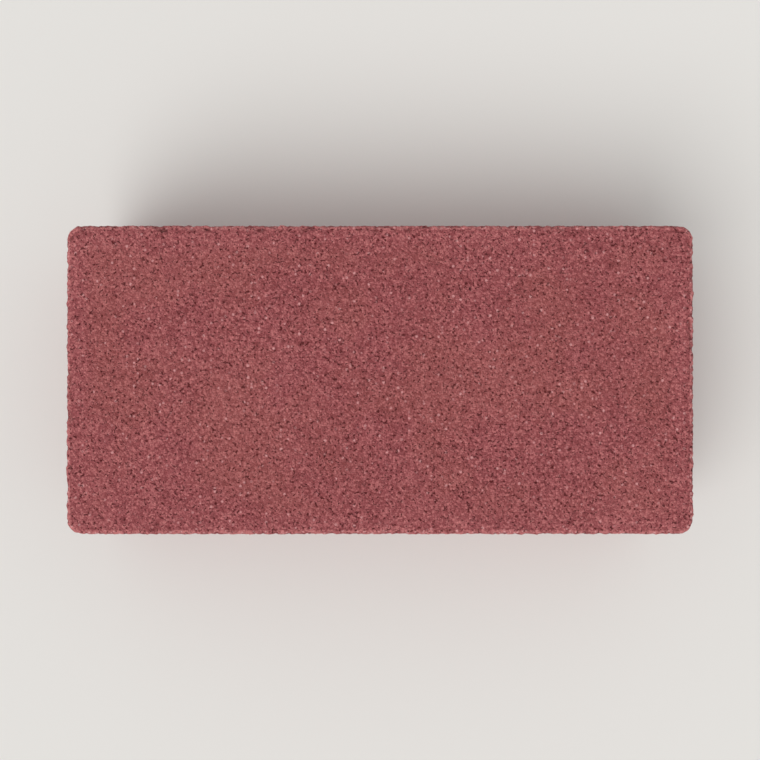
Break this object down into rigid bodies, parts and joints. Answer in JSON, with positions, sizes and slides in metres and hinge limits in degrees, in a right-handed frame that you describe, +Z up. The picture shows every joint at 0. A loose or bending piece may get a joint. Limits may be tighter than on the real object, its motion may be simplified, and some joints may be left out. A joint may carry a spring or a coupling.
{
  "type": "paving stone",
  "caption": "Rectangular red concrete paving stone with a flat gritty wearing face, rounded corners and upright spacer ribs on its sides.",
  "frame": {"origin": "middle of the underside, on the bed that the stone is laid on", "axes": "+X along the stone's length, +Y across its width, +Z up through the wearing face"},
  "size_m": [0.2, 0.1, 0.06],
  "materials": {
    "red_concrete": "matte"
  },
  "bodies": {
    "root": {"paving_stone": "red_concrete"}
  },
  "joints": []
}
